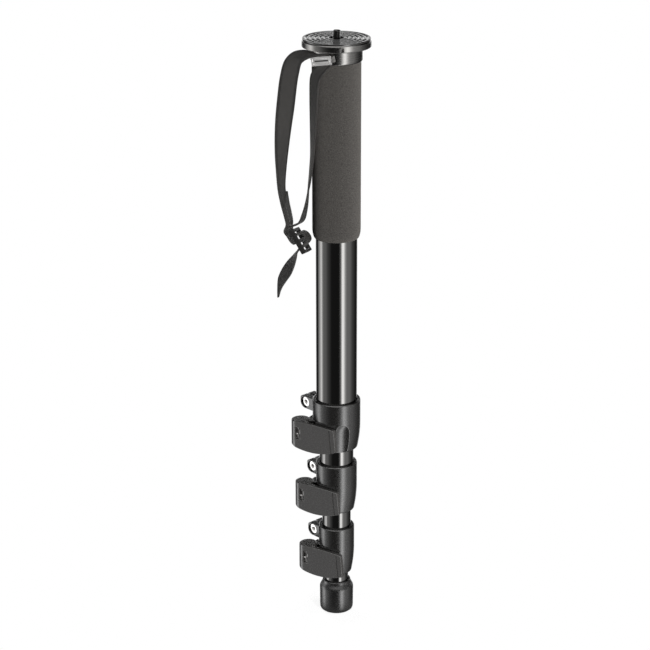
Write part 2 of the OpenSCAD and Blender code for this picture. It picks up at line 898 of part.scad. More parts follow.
module strap_slider() {
    hole = (slider_l - slider_mid) / 2 - slider_bar;
    color(black)
        translate(strap_home + slider_home)
            rotate(slider_angles)
                difference() {
                    cube([slider_l, slider_w, slider_t], center = true);
                    for (s = [-1, 1])
                        translate([s * (slider_mid + hole) / 2, 0, 0])
                            cube([hole, slider_w - 2 * slider_cheek, 2 * slider_t], center = true);
                }
}

foot();
foot_plug();
tube_4();
guide_bush(4);  // guide_bush_4
tube_3();
guide_bush(3);  // guide_bush_3
lock_collar(3);  // lock_collar_3
lock_sleeve(3);  // lock_sleeve_3
clamp_screw(3);  // clamp_screw_3
clamp_nut(3);  // clamp_nut_3
barrel_pin(3);  // barrel_pin_3
tension_bolt(3);  // tension_bolt_3
tension_nut(3);  // tension_nut_3
lock_lever(3);  // lock_lever_3
tube_2();
guide_bush(2);  // guide_bush_2
lock_collar(2);  // lock_collar_2
lock_sleeve(2);  // lock_sleeve_2
clamp_screw(2);  // clamp_screw_2
clamp_nut(2);  // clamp_nut_2
barrel_pin(2);  // barrel_pin_2
tension_bolt(2);  // tension_bolt_2
tension_nut(2);  // tension_nut_2
lock_lever(2);  // lock_lever_2
tube_1();
lock_collar(1);  // lock_collar_1
lock_sleeve(1);  // lock_sleeve_1
clamp_screw(1);  // clamp_screw_1
clamp_nut(1);  // clamp_nut_1
barrel_pin(1);  // barrel_pin_1
tension_bolt(1);  // tension_bolt_1
tension_nut(1);  // tension_nut_1
lock_lever(1);  // lock_lever_1
grip();
neck();
top_plug();
top_plate();
plate_pad();
camera_screw();
set_screw();
strap_loop();
strap_front();
strap_back();
strap_slider();
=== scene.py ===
from math import cos, pi, radians, sin, tau

import bmesh
import bpy
import numpy as np
from mathutils import Euler, Matrix, Vector


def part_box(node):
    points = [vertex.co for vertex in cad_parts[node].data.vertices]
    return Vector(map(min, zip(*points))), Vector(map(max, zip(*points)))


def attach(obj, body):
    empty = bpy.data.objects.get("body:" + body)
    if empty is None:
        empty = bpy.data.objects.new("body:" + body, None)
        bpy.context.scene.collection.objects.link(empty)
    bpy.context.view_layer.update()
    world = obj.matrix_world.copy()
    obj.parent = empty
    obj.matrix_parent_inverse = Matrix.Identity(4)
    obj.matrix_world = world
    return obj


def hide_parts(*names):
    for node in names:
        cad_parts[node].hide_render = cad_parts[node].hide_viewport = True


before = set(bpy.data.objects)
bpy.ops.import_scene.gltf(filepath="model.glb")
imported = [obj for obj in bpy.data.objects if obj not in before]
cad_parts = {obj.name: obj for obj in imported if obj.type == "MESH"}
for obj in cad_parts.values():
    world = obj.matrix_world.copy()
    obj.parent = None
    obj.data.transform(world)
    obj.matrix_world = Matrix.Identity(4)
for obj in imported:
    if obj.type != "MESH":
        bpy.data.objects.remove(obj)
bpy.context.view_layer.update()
scene = bpy.context.scene
scene.view_settings.view_transform = "Standard"
MM = 0.001

# Camera
# A plain lens in front of the monopod, above its head and tilted down, as in the photograph.
# The small shift puts the tubes a little right of the middle of the picture.
lens = bpy.data.cameras.new("Camera")
lens.sensor_width = 36
lens.lens = 118.69
lens.shift_x = -0.0177
camera = bpy.data.objects.new("Camera", lens)
camera.location = (0, -1.7, 0.865)
camera.rotation_euler = (radians(70.529), 0, 0)
scene.collection.objects.link(camera)
scene.camera = camera


def add(tree, kind, inputs=None, **settings):
    """Adds a node, sets it up and joins its inputs."""
    made = tree.nodes.new(kind)
    for name, value in settings.items():
        setattr(made, name, value)
    for name, value in (inputs or {}).items():
        if isinstance(value, bpy.types.NodeSocket):
            tree.links.new(value, made.inputs[name])
        else:
            made.inputs[name].default_value = value
    return made


def ramp(tree, value, start, end, low=0.0, high=1.0, smooth=False):
    """A number that goes from low to high while the value goes from start to end."""
    made = add(
        tree, "ShaderNodeMapRange",
        {"Value": value, "From Min": start, "From Max": end, "To Min": low, "To Max": high},
        interpolation_type="SMOOTHSTEP" if smooth else "LINEAR",
    )
    return made.outputs[0]


def maths(tree, operation, *values):
    """A number worked out from others."""
    return add(tree, "ShaderNodeMath", dict(enumerate(values)), operation=operation).outputs[0]


# Studio
# A dark room with a bright strip softbox at the right front, another at the left, dim panels beside them,
# a panel above the camera and a low band at the back, which polished pieces mirror.
# What the camera sees behind the object is white.
studio = bpy.data.worlds.new("Studio")
scene.world = studio
studio.use_nodes = True
tree = studio.node_tree
tree.nodes.clear()
WHITE, ROOM_FILL, BACKDROP = (1, 1, 1, 1), 0.06, 1.0
toward = add(
    tree, "ShaderNodeSeparateXYZ", {"Vector": add(tree, "ShaderNodeTexCoord").outputs["Generated"]}
).outputs
frontward = maths(tree, "MULTIPLY", toward["Y"], -1.0)
turn = maths(tree, "ARCTAN2", toward["X"], frontward)
boxes = add(tree, "ShaderNodeValToRGB", {"Fac": ramp(tree, turn, -pi, pi)})
# Degrees round the room from the camera, and how bright it is there
ROOM = [
    (-180, 0.17), (-162, 0.17), (-150, 0.006), (-126, 0.006), (-104, 0.3), (-93, 0.6), (-84, 0.2),
    (-77, 0.1), (-62, 0.09), (-50, 0.04), (-28, 0.007), (15, 0.006), (24, 0.1), (34, 0.9), (39, 0.8),
    (50, 0.25), (60, 0.12), (80, 0.11), (98, 0.04), (126, 0.007), (150, 0.006), (162, 0.17), (180, 0.17),
]
for k, (degrees, level) in enumerate(ROOM):
    stop = boxes.color_ramp.elements[k] if k < 2 else boxes.color_ramp.elements.new(1.0)
    stop.position = degrees / 360 + 0.5
    stop.color = (level, level, level, 1)
ceiling = ramp(tree, toward["Z"], 0.04, 0.3, 6.0, 0.4, smooth=True)
around = maths(tree, "MULTIPLY", boxes.outputs["Color"], ceiling)
high = ramp(tree, toward["Z"], 0.4, 0.65, smooth=True)
front = ramp(tree, frontward, -0.1, 0.3, 0.0, 3.0)
overhead = maths(tree, "MULTIPLY", high, front)
rising = ramp(tree, toward["Z"], -0.12, 0.0, smooth=True)
sinking = ramp(tree, toward["Z"], 0.12, 0.22, 1.0, 0.0, smooth=True)
behind = ramp(tree, toward["Y"], 0.5, 0.8, 0.0, 2.2)
band = maths(tree, "MULTIPLY", rising, sinking)
panels = maths(tree, "MULTIPLY_ADD", band, behind, overhead)
boxes_and_panels = maths(tree, "ADD", around, panels)
ray = add(tree, "ShaderNodeLightPath").outputs
seen = maths(tree, "MAXIMUM", ray["Is Camera Ray"], ray["Is Transmission Ray"])
room_light, mirrored, backdrop = (
    add(tree, "ShaderNodeBackground", {"Color": WHITE, "Strength": strength}).outputs[0]
    for strength in (ROOM_FILL, boxes_and_panels, BACKDROP)
)
soft = add(tree, "ShaderNodeMixShader", {0: ray["Is Glossy Ray"], 1: room_light, 2: mirrored})
whole = add(tree, "ShaderNodeMixShader", {0: seen, 1: soft.outputs[0], 2: backdrop})
tree.links.new(whole.outputs[0], add(tree, "ShaderNodeOutputWorld").inputs["Surface"])

AIM, LAMP_DISTANCE = Vector((0, 0, 0.27)), 2.0
for name, degrees, rise, wide, tall, watts in (
    ("Key softbox", 25, 6, 0.35, 1.2, 42),
    ("Side softbox", 85, 4, 0.5, 1.2, 22),
    ("Back softbox", -152, 4, 0.6, 1.2, 30),
):
    lamp = bpy.data.lights.new(name, "AREA")
    lamp.shape = "RECTANGLE"
    lamp.size, lamp.size_y, lamp.energy = wide, tall, watts
    light = bpy.data.objects.new(name, lamp)
    a, e = radians(degrees), radians(rise)
    out = Vector((sin(a) * cos(e), -cos(a) * cos(e), sin(e)))
    light.location = AIM + LAMP_DISTANCE * out
    light.rotation_euler = (-out).to_track_quat("-Z", "Y").to_euler()
    light.visible_camera = False
    light.visible_glossy = False
    scene.collection.objects.link(light)


# Floor
# A round white table top that fades out round the foot, so that it meets the white backdrop without an edge.
# It takes the monopod's soft shadow.
FLOOR_RADIUS, FADE_START, FADE_END, FLOOR_DROP = 0.04, 0.0145, 0.038, 0.0002
SEEN_WHITE, MIRRORED_WHITE, CLOTH_WHITE = 0.86, 0.08, 0.33
bm = bmesh.new()
bmesh.ops.create_circle(bm, cap_ends=True, cap_tris=True, segments=96, radius=FLOOR_RADIUS)
mesh = bpy.data.meshes.new("floor")
bm.to_mesh(mesh)
bm.free()
table_white = bpy.data.materials.new("table_white")
table_white.use_nodes = True
tree = table_white.node_tree
tree.nodes.clear()
where = add(tree, "ShaderNodeTexCoord").outputs["Object"]
far = add(tree, "ShaderNodeVectorMath", {0: where}, operation="LENGTH").outputs["Value"]
fade = ramp(tree, far, FADE_START, FADE_END, smooth=True)
ray = add(tree, "ShaderNodeLightPath").outputs
shown = maths(tree, "MAXIMUM", ray["Is Camera Ray"], ray["Is Transmission Ray"])
bright = maths(tree, "MULTIPLY", shown, SEEN_WHITE)
strength = maths(tree, "MULTIPLY_ADD", ray["Is Glossy Ray"], MIRRORED_WHITE, bright)
glow = add(tree, "ShaderNodeEmission", {"Color": WHITE, "Strength": strength})
cloth = add(tree, "ShaderNodeBsdfDiffuse", {"Color": (CLOTH_WHITE, CLOTH_WHITE, CLOTH_WHITE, 1)})
lit = add(tree, "ShaderNodeAddShader", {0: glow.outputs[0], 1: cloth.outputs[0]})
gone = add(tree, "ShaderNodeBsdfTransparent")
whole = add(tree, "ShaderNodeMixShader", {0: fade, 1: lit.outputs[0], 2: gone.outputs[0]})
tree.links.new(whole.outputs[0], add(tree, "ShaderNodeOutputMaterial").inputs["Surface"])
mesh.materials.append(table_white)
floor = bpy.data.objects.new("floor", mesh)
floor.location = (0, 0, -FLOOR_DROP)
scene.collection.objects.link(floor)


# Surface grain
# Fine speckle that moulded, plated and blackened pieces share.
# It varies how glossy they are and roughens them a little.
GRAIN_INPUTS, GRAIN_DEPTH = ("Scale", "Glossiest", "Dullest", "Relief"), 0.0002
surface_grain = bpy.data.node_groups.new("surface_grain", "ShaderNodeTree")
for name in GRAIN_INPUTS:
    surface_grain.interface.new_socket(name=name, in_out="INPUT", socket_type="NodeSocketFloat")
for name, kind in (("Roughness", "NodeSocketFloat"), ("Normal", "NodeSocketVector")):
    surface_grain.interface.new_socket(name=name, in_out="OUTPUT", socket_type=kind)
given = add(surface_grain, "NodeGroupInput").outputs
where = add(surface_grain, "ShaderNodeTexCoord").outputs["Object"]
speck = add(
    surface_grain, "ShaderNodeTexNoise", {"Vector": where, "Scale": given["Scale"], "Detail": 3.0}
).outputs[0]
tone = ramp(surface_grain, speck, 0.3, 0.7, given["Glossiest"], given["Dullest"])
rise = add(
    surface_grain, "ShaderNodeBump",
    {"Height": speck, "Strength": given["Relief"], "Distance": GRAIN_DEPTH},
).outputs[0]
add(surface_grain, "NodeGroupOutput", {"Roughness": tone, "Normal": rise})


def finish(name, colour, metallic=0.0, grain=None):
    """A material of one colour. Grain is its scale, its glossiest and dullest roughness and its relief."""
    made = bpy.data.materials.new(name)
    made.use_nodes = True
    tree = made.node_tree
    shader = tree.nodes["Principled BSDF"]
    shader.inputs["Base Color"].default_value = (*colour, 1)
    shader.inputs["Metallic"].default_value = metallic
    if grain:
        values = dict(zip(GRAIN_INPUTS, grain))
        fine = add(tree, "ShaderNodeGroup", values, node_tree=surface_grain)
        tree.links.new(fine.outputs["Roughness"], shader.inputs["Roughness"])
        tree.links.new(fine.outputs["Normal"], shader.inputs["Normal"])
    return made, tree, shader


def turned(outline, closed=True, steps=144):
    """Turns an outline of (radius, height) points in millimetres round the tubes' axis."""
    bm = bmesh.new()
    line = [bm.verts.new((r * MM, 0, z * MM)) for r, z in outline]
    pairs = list(zip(line, line[1:])) + ([(line[-1], line[0])] if closed else [])
    edges = [bm.edges.new(pair) for pair in pairs]
    bmesh.ops.spin(
        bm, geom=line + edges, cent=(0, 0, 0), axis=(0, 0, 1), angle=tau, steps=steps, use_merge=True,
    )
    bmesh.ops.remove_doubles(bm, verts=bm.verts, dist=1e-7)
    bmesh.ops.recalc_face_normals(bm, faces=bm.faces)
    return bm


def place(bm, name, material, body, slot, *nodes):
    """Makes the piece, rides it on its body and hides the solids that it stands for."""
    crease = radians(40)
    for edge in bm.edges:
        edge.smooth = edge.calc_face_angle(0.0) < crease
    mesh = bpy.data.meshes.new(name)
    bm.to_mesh(mesh)
    bm.free()
    mesh.materials.append(material)
    for face in mesh.polygons:
        face.use_smooth = True
    made = bpy.data.objects.new(name, mesh)
    scene.collection.objects.link(made)
    made.modifiers.new("Even shading", "WEIGHTED_NORMAL").keep_sharp = True
    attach(made, body)
    if nodes:
        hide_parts(*nodes)
    return made


# Foot
# A moulded rubber cup that is pushed over the end of the thinnest tube.
# Its shoulder rises to a thin ring round the tube, and its lower edge is rounded for the ground.
rubber, _, shader = finish("rubber_black", (0.011, 0.0107, 0.0104), grain=(900.0, 0.24, 0.34, 0.06))
shader.inputs["Specular IOR Level"].default_value = 1.0
foot = turned([
    (0, 0), (11.2, 0), (12.6, 0.35), (13.7, 1.2), (14.3, 2.6), (14.45, 4.5), (14.65, 21.6), (14.45, 22.8),
    (13.7, 24.3), (12.8, 26.0), (12.3, 27.2), (12.05, 28.4), (11.75, 28.8), (10.22, 28.8), (10.22, 5), (0, 5),
], closed=False)
place(foot, "foot_cup", rubber, "foot_section", "rubber_black", "foot")


def soften(bm, width, segments=3, limit=25, takes=None):
    """Rounds edges sharper than the limit in degrees. Takes, where given, picks them by one of their ends."""
    sharp = [e for e in bm.edges if e.is_manifold and e.calc_face_angle() > radians(limit)]
    if takes:
        sharp = [e for e in sharp if takes(e.verts[0].co)]
    bmesh.ops.bevel(
        bm, geom=sharp, offset=width * MM, offset_type="OFFSET", affect="EDGES",
        segments=segments, profile=0.5, material=-1, clamp_overlap=False,
    )


# Tubes
# Four drawn aluminium tubes, one inside the next, anodised glossy black.
# Faint lines from drawing run along them.
WALL, LINE_STRETCH = 1.3, 0.01
anodised, tree, shader = finish("tube_black", (0.16, 0.158, 0.155), 1.0)
where = add(tree, "ShaderNodeTexCoord").outputs["Object"]
stretched = add(tree, "ShaderNodeMapping", {"Vector": where, "Scale": (1, 1, LINE_STRETCH)}).outputs[0]
drawn = add(tree, "ShaderNodeTexNoise", {"Vector": stretched, "Scale": 1400.0, "Detail": 3.0}).outputs[0]
tree.links.new(ramp(tree, drawn, 0.0, 1.0, 0.07, 0.15), shader.inputs["Roughness"])
for name, body, radius in (
    ("tube_1", "upper_section", 17.4),
    ("tube_2", "section_2", 14.6),
    ("tube_3", "section_3", 12.4),
    ("tube_4", "foot_section", 10.2),
):
    low, high = (corner.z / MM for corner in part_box(name))
    bore = radius - WALL
    tube = turned([(bore, low), (radius, low), (radius, high), (bore, high)])
    soften(tube, 0.25)
    place(tube, name + "_drawn", anodised, body, "tube_black", name)


def solid_copy(node):
    """A copy of a solid's mesh, joined up, with its flat faces whole."""
    bm = bmesh.new()
    bm.from_mesh(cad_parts[node].data)
    bmesh.ops.remove_doubles(bm, verts=bm.verts, dist=2e-6)
    bmesh.ops.dissolve_limit(bm, angle_limit=radians(0.4), verts=bm.verts, edges=bm.edges)
    return bm


# Lock collars
# Three black nylon collars, each split down one side, with a pair of ears that a screw draws together.
# Below the slit the collar squeezes the next tube when the lever closes.
nylon, _, shader = finish("collar_black", (0.01, 0.0096, 0.0092), grain=(1100.0, 0.24, 0.34, 0.06))
shader.inputs["Specular IOR Level"].default_value = 1.0
LOCK_BODY = {1: "upper_section", 2: "section_2", 3: "section_3"}
EAR_FRONT, SPARED = Vector((-0.7071, -0.7071, 0)), 5
for n, body in LOCK_BODY.items():
    collar = solid_copy(f"lock_collar_{n}")
    screw = sum(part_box(f"clamp_screw_{n}"), Vector()) / 2
    # The rims round the screw stay sharp, because rounding would fold their narrow faces
    soften(collar, 0.35, takes=lambda at: (at - screw).cross(EAR_FRONT).length > SPARED * MM)
    place(collar, f"collar_{n}", nylon, body, "collar_black", f"lock_collar_{n}")


# Levers
# Moulded dark grey nylon, one on each collar. The arm lies along the collar, and the thick end is the cam.
# A groove runs across the arm beside its slanting tip.
lever_grey, _, shader = finish("lever_grey", (0.05, 0.0478, 0.046), grain=(1300.0, 0.22, 0.3, 0.06))
shader.inputs["Specular IOR Level"].default_value = 1.0
LEVER_FRONT, TOWARD_TIP = Vector((-0.5, -0.866, 0)), Vector((0.8618, -0.4976, 0.0987))
GROOVE_EDGES, GROOVE_SIDE, GROOVE_DEPTH, FACING = (3.8, 5.2), 0.35, 0.7, 0.99
for n in LOCK_BODY:
    lever = solid_copy(f"lock_lever_{n}")
    soften(lever, 0.5)
    tip = max((v.co for v in lever.verts), key=TOWARD_TIP.dot).copy()
    edges = [tip - TOWARD_TIP * back * MM for back in GROOVE_EDGES]
    for edge in edges:
        whole = lever.verts[:] + lever.edges[:] + lever.faces[:]
        bmesh.ops.bisect_plane(lever, geom=whole, dist=1e-7, plane_co=edge, plane_no=TOWARD_TIP)
    near, far = (TOWARD_TIP.dot(edge) for edge in edges)
    strip = [
        f for f in lever.faces
        if f.normal.dot(LEVER_FRONT) > FACING and far < TOWARD_TIP.dot(f.calc_center_median()) < near
    ]
    bmesh.ops.inset_region(
        lever, faces=strip, thickness=GROOVE_SIDE * MM, depth=-GROOVE_DEPTH * MM,
        use_boundary=True, use_even_offset=True,
    )
    place(lever, f"lever_{n}_arm", lever_grey, f"lever_{n}", "lever_grey", f"lock_lever_{n}")


# Screws, nuts and pins
# Plated steel. A socket screw and a nut go through each pair of upper ears.
# A bolt goes from each cam pin through the lower ears, and a nut holds its far end.
plated, _, _ = finish("bright_steel", (0.72, 0.71, 0.7), 1.0, (2400.0, 0.18, 0.34, 0.03))
for n, body in LOCK_BODY.items():
    for kind in ("clamp_screw", "clamp_nut", "barrel_pin", "tension_bolt", "tension_nut"):
        hardware = solid_copy(f"{kind}_{n}")
        soften(hardware, 0.15, 2)
        place(hardware, f"{kind}_{n}_plated", plated, body, "bright_steel", f"{kind}_{n}")


def mixed(tree, share, first, second):
    """A colour between the first and the second."""
    inputs = {"Factor": share, "A": first, "B": second}
    return add(tree, "ShaderNodeMix", inputs, data_type="RGBA").outputs["Result"]


# Grip
# A sleeve of closed cell foam, pulled over the top tube. Its skin is finely pored.
# Its lower end is rounded, and lies a little above the lower end of its solid.
GRIP_RADIUS, GRIP_BORE, FOAM_RISE = 20.1, 17.42, 2.6
END_WIDE, END_TALL, TOP_ROUND = 2.4, 8.5, 0.8
foam, tree, shader = finish("foam_grey", (0.08, 0.075, 0.071))
where = add(tree, "ShaderNodeTexCoord").outputs["Object"]
pores = add(
    tree, "ShaderNodeTexNoise", {"Vector": where, "Scale": 1500.0, "Detail": 4.0, "Roughness": 0.75}
).outputs[0]
spread = ramp(tree, pores, 0.36, 0.64)
colour = mixed(tree, spread, (0.05, 0.047, 0.044, 1), (0.125, 0.118, 0.11, 1))
rise = add(tree, "ShaderNodeBump", {"Height": pores, "Strength": 0.35, "Distance": 0.0003})
tree.links.new(colour, shader.inputs["Base Color"])
tree.links.new(rise.outputs[0], shader.inputs["Normal"])
shader.inputs["Roughness"].default_value = 0.95
shader.inputs["Specular IOR Level"].default_value = 0.1
shader.inputs["Diffuse Roughness"].default_value = 1.0
low, high = (corner.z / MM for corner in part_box("grip"))
low += FOAM_RISE
edge = [
    (GRIP_RADIUS - END_WIDE + END_WIDE * sin(a), low + END_TALL - END_TALL * cos(a))
    for a in (k * pi / 24 for k in range(13))
]
side = [(GRIP_RADIUS, low + (high - low) * k / 8) for k in range(1, 8)]
top = [
    (GRIP_RADIUS - TOP_ROUND + TOP_ROUND * cos(a), high - TOP_ROUND + TOP_ROUND * sin(a))
    for a in (k * pi / 12 for k in range(7))
]
sleeve = turned([(GRIP_BORE, low)] + edge + side + top + [(GRIP_BORE, high)])
grip = place(sleeve, "foam_grip", foam, "upper_section", "foam_grey", "grip")


# Neck
# A turned black ring under the platform, pressed on the top tube. Its lower edge is well rounded.
# Fine lines from turning run round it.
TUBE_SEAT, STUD_HOLE, WEB = 17.42, 5.25, 2
turned_black, tree, shader = finish("head_black", (0.2, 0.196, 0.19), 1.0)
where = add(tree, "ShaderNodeSeparateXYZ", {"Vector": add(tree, "ShaderNodeTexCoord").outputs["Object"]})
flat = add(tree, "ShaderNodeCombineXYZ", {"X": where.outputs["X"], "Y": where.outputs["Y"]})
away = add(tree, "ShaderNodeVectorMath", {0: flat.outputs[0]}, operation="LENGTH")
lathe_lines = add(tree, "ShaderNodeCombineXYZ", {"X": away.outputs["Value"], "Y": where.outputs["Z"]})
lines = add(tree, "ShaderNodeTexNoise", {"Vector": lathe_lines.outputs[0], "Scale": 3200.0, "Detail": 3.0})
tone = ramp(tree, lines.outputs[0], 0.0, 1.0, 0.16, 0.34)
rise = add(tree, "ShaderNodeBump", {"Height": lines.outputs[0], "Strength": 0.25, "Distance": 0.0001})
tree.links.new(tone, shader.inputs["Roughness"])
tree.links.new(rise.outputs[0], shader.inputs["Normal"])
low, high = (corner.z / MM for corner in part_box("neck"))
ring = turned([
    (TUBE_SEAT, low), (20.0, low), (20.7, low + 0.3), (21.1, low + 0.9), (21.2, low + 1.8), (21.2, high),
    (STUD_HOLE, high), (STUD_HOLE, high - WEB), (TUBE_SEAT, high - WEB),
])
soften(ring, 0.2, 2, 40)
place(ring, "neck_ring", turned_black, "upper_section", "head_black", "neck")


# Platform
# A turned black metal disc that sits on the neck.
# A small set screw of blackened steel in its rim keeps the camera stud from turning.
disc = solid_copy("top_plate")
soften(disc, 0.15, 2)
place(disc, "platform", turned_black, "upper_section", "head_black", "top_plate")
blackened, _, _ = finish("dark_steel", (0.1, 0.098, 0.095), 1.0, (2600.0, 0.2, 0.36, 0.03))
grub = solid_copy("set_screw")
soften(grub, 0.15, 2)
place(grub, "rim_set_screw", blackened, "upper_section", "dark_steel", "set_screw")


# Pad
# A dark grey rubber disc, glued on the platform.
# It is moulded with rings, so that the camera doesn't slip.
pad_grey, _, shader = finish("pad_grey", (0.014, 0.0133, 0.0127), grain=(1600.0, 0.14, 0.24, 0.05))
shader.inputs["Specular IOR Level"].default_value = 1.0
low, high = (corner.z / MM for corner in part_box("plate_pad"))
PAD_HOLE, PAD_EDGE, RINGS, FLAT_SHARE, SLOPE, GROOVE = 6.0, 27.85, 6, 0.62, 0.4, 0.7
pitch = (PAD_EDGE - PAD_HOLE) / (RINGS - 1 + FLAT_SHARE)
profile = [(PAD_HOLE, low)]
for k in range(RINGS):
    start = PAD_HOLE + k * pitch
    flat_end = start + FLAT_SHARE * pitch
    profile += [(start, high), (flat_end, high)]
    if k < RINGS - 1:
        profile += [(flat_end + SLOPE, high - GROOVE), (start + pitch - SLOPE, high - GROOVE)]
pad = turned(profile + [(PAD_EDGE, low)])
soften(pad, 0.45, 4)
place(pad, "ringed_pad", pad_grey, "upper_section", "pad_grey", "plate_pad")


# Camera stud
# Blackened steel with a rolled 1/4 in thread, twenty turns to the inch.
# The flange under the thread sits in the platform.
PITCH, CREST, ROOT, TURNS, TURN_STEPS = 1.27, 3.175, 2.55, 5, 40
SHANK, FLANGE, FLANGE_LOW, FLANGE_TOP, THREAD_LOW, CHAMFER = 4.75, 5.8, 505.8, 507.3, 507.9, 0.5
RIDGE = [(ROOT - 0.1, 0), (ROOT - 0.1, 1.1), (CREST, 0.66), (CREST, 0.46)]
low, high = (corner.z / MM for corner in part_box("camera_screw"))
stud = turned([
    (0, low), (SHANK, low), (SHANK, FLANGE_LOW), (FLANGE, FLANGE_LOW), (FLANGE, FLANGE_TOP),
    (ROOT, FLANGE_TOP), (ROOT, high - CHAMFER), (ROOT - CHAMFER, high), (0, high),
], closed=False, steps=80)
soften(stud, 0.2, 2)
thread = bmesh.new()
corners = [thread.verts.new((r * MM, 0, (THREAD_LOW + z) * MM)) for r, z in RIDGE]
edges = [thread.edges.new(pair) for pair in zip(corners, corners[1:] + corners[:1])]
bmesh.ops.spin(
    thread, geom=corners + edges, cent=(0, 0, 0), axis=(0, 0, 1), dvec=(0, 0, PITCH * MM / TURN_STEPS),
    angle=tau * TURNS, steps=TURN_STEPS * TURNS, use_merge=False,
)
bmesh.ops.holes_fill(thread, edges=thread.edges, sides=4)
bmesh.ops.recalc_face_normals(thread, faces=thread.faces)
rolled = bpy.data.meshes.new("rolled_thread")
thread.to_mesh(rolled)
thread.free()
stud.from_mesh(rolled)
bpy.data.meshes.remove(rolled)
place(stud, "camera_stud", blackened, "upper_section", "dark_steel", "camera_screw")


# Strap loop
# A pressed steel loop, polished bright, with its two feet let into the neck. The strap runs behind its bar.
# Its front face lies a little below its polished rim, and is coloured dark grey as painted shade and dark
# reflection.
CHROME, PAINTED_RECESS_SHADE = (0.8, 0.79, 0.78), (0.14, 0.138, 0.135)
LOOP_TURN, LOOP_FACING, RIM, RECESS_DEPTH = radians(-29), 0.9, 1.1, 0.25
polished, tree, shader = finish("loop_chrome", CHROME, 1.0, (1800.0, 0.08, 0.2, 0.02))
# The recessed face is coloured dark grey, as painted shade and dark reflection on the steel.
recess_painted_shade = add(tree, "ShaderNodeAttribute", attribute_name="recess").outputs["Fac"]
sheet = mixed(tree, recess_painted_shade, (*CHROME, 1), (*PAINTED_RECESS_SHADE, 1))
tree.links.new(sheet, shader.inputs["Base Color"])
LOOP_FRONT = Vector((sin(LOOP_TURN), -cos(LOOP_TURN), 0))
loop = solid_copy("strap_loop")
soften(loop, 0.25)
recess = loop.faces.layers.float.new("recess")
fronts = [f for f in loop.faces if f.normal.dot(LOOP_FRONT) > LOOP_FACING]
face = max(fronts, key=lambda f: f.calc_area())
bmesh.ops.inset_region(
    loop, faces=[face], thickness=RIM * MM, depth=-RECESS_DEPTH * MM, use_boundary=True, use_even_offset=True,
)
face[recess] = 1.0
place(loop, "strap_loop_steel", polished, "upper_section", "loop_chrome", "strap_loop")


# Wrist strap
# Black nylon webbing, 15 mm wide. One end is sewn round the slider's middle bar.
# The other runs through the loop and the slider and ends in a slanting cut.
HOME = np.array((-11.15, -20.12, 494.5))
SLIDER_AT = np.array((-18.6, 7.5, -152.3))
SLIDER_TURN = Euler((radians(-18), radians(55), radians(-30)), "XYZ").to_matrix()
ALONG, ACROSS, OUT = (np.array(SLIDER_TURN.col[k]) for k in range(3))
# Half width, thickness, points from row to row, and the reach at which the middle line stops in the cut
HALF, THICK, ROUTE_STEPS, LINE_END = 7.5, 1.5, 6, -0.35
slider_heading = np.degrees(np.arctan2(-ACROSS[1], -ACROSS[0]))
slider_slope = np.degrees(np.arcsin(-ACROSS[2]))


def on_slider(along, out, lap=0):
    """A row on the slider: distance along it and out of its face."""
    return [*(SLIDER_AT + along * ALONG + out * OUT), slider_heading + lap, slider_slope, 1]


# Each row is an offset from the loop in millimetres, then the heading and the slope of the line across the
# webbing in degrees, and how far the webbing reaches from its middle on the cut side, in half widths
FRONT_ROUTE = [
    [0, 0, 0, 151, -10, 1], [-0.8, 0.3, 3.7, 150, -12, 1], [-3.3, 0.4, 4.7, 127, -4, 1],
    [-6.4, 1.8, 5, 110, 2, 1], [-10.7, 4.6, 4.3, 99, 9, 1], [-15.5, 8, 2.7, 101, 20, 1],
    [-19.7, 10, 0.7, 122, 24, 1], [-22.7, 11.2, -2, 148, 10, 1], [-24.7, 11.8, -6, 164, 2, 1],
    [-26.3, 12, -12.5, 174, 0, 1], [-27.9, 12, -21.5, 182, 0, 1], [-29.9, 11.8, -38.5, 188, 0, 1],
    [-31.9, 11.6, -56.5, 206, 0, 1], [-33.3, 11.4, -74.5, 222, 0, 1], [-33.9, 11.2, -91.5, 238, 0, 1],
    [-33.8, 11.2, -108.5, 250, 0, 1], [-31.8, 11.1, -121.2, 254, 0, 1], [-29.7, 10.6, -130.4, 256, 2, 1],
    [-28.3, 10, -138.2, 257, 5, 1], on_slider(-12.6, -5.8, 358), on_slider(-8, -5.8, 360),
    on_slider(-3.5, -5.6, 360), on_slider(-0.4, -4.6, 360), on_slider(0, -3.3, 360),
]
BACK_ROUTE = [
    [0, 0, 0, -29, 10, 1], [0.6, -0.3, -4.4, -29, 10, 1], [-2.6, 1.9, -8.8, -46, 5, 1],
    [-6.2, 5.6, -17, -60, 1, 1], [-7.1, 7.1, -32.5, -65, 0, 1], [-7.7, 7.8, -54.5, -72, 0, 1],
    [-8.6, 8.4, -79.5, -81, 0, 1], [-10.4, 8.9, -98.5, -86, 0, 1], [-11.7, 9.1, -107.9, -90, 0, 1],
    [-13, 9.1, -118.1, -96, 0, 1], [-15, 9.1, -128.3, -103, 2, 1], [-18.2, 9.4, -137, -107, 6, 1],
    on_slider(-13.8, -1.2), on_slider(-11.2, -3.2), on_slider(-7.6, -3.2), on_slider(-5.2, 0.6),
    on_slider(-5.8, 4.6), on_slider(-2, 7), on_slider(2.8, 6.4), on_slider(5, 0.8), on_slider(5.8, -3.4, 2),
    on_slider(6.6, -6.8, 12), [-23.4, 4.6, -165.6, -80, 8, 1], [-26.6, 3.3, -171, -66, 4, 1],
    [-30, 2.7, -178, -57, 0, 0.9], [-32.4, 3, -185.5, -52, -2, 0.4], [-32.8, 3.5, -194, -50, -2, -0.4],
    [-32.6, 4, -202.5, -48, -2, -0.9],
]


